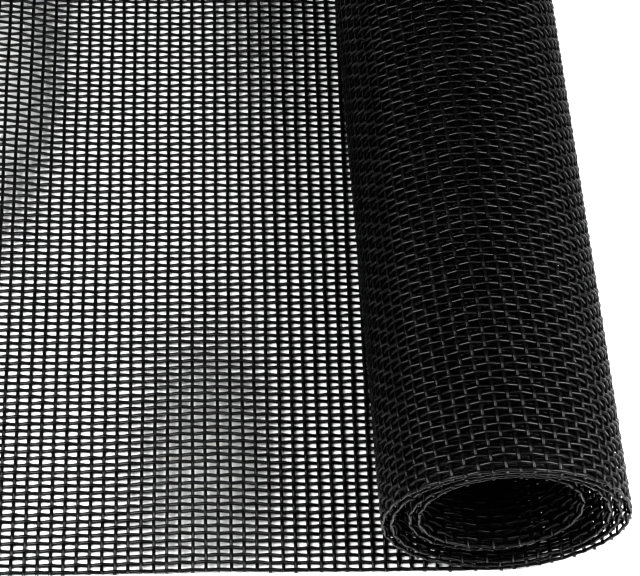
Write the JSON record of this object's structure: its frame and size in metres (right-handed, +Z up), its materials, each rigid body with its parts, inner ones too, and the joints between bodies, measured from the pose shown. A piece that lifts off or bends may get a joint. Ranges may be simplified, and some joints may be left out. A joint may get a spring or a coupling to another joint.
{
  "type": "roll of insect screen",
  "caption": "Loosely wound roll of black, coarse woven insect screen, hollow in the middle, with its loose end lying flat beside it.",
  "frame": {"origin": "on the ground, under the middle of the whole", "axes": "+Z up, +Y along the roll from its front end to its back end, +X from the loose end to the roll"},
  "size_m": [0.1348, 0.1516, 0.048],
  "materials": {
    "mesh": "coated thread, satin"
  },
  "bodies": {
    "root": {"screen": "mesh"}
  },
  "joints": []
}
